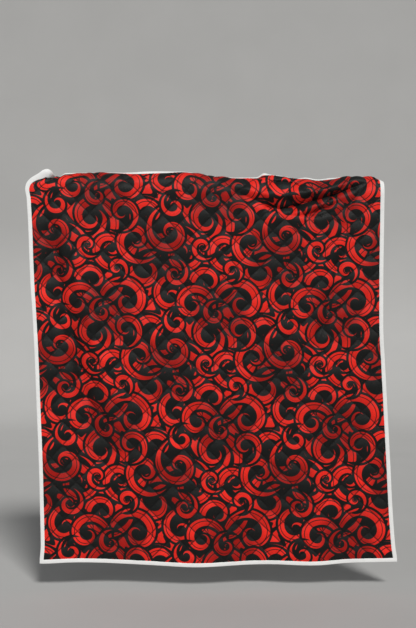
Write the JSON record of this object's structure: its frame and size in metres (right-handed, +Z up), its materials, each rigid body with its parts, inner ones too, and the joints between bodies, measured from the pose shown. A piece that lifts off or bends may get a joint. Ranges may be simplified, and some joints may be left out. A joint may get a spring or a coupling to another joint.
{
  "type": "quilt",
  "caption": "Large printed bed quilt with a light folded binding, hung by its top edge, which curls back; diamond stitched, gently uneven.",
  "frame": {"origin": "the middle of the top edge, on the crest of the cloth, where whatever carries the quilt holds it", "axes": "+Z up, +X to the right across the quilt, and the printed face looks along -Y"},
  "size_m": [2.0928, 0.1343, 2.2438],
  "materials": {
    "printed_cotton": "soft matt woven cloth, printed in red on charcoal, stitched over thin filling",
    "binding_cotton": "matt off-white woven cloth"
  },
  "bodies": {
    "root": {"quilt_panel": "printed_cotton", "binding_left": "binding_cotton", "binding_right": "binding_cotton", "binding_top": "binding_cotton", "binding_bottom": "binding_cotton"}
  },
  "joints": []
}
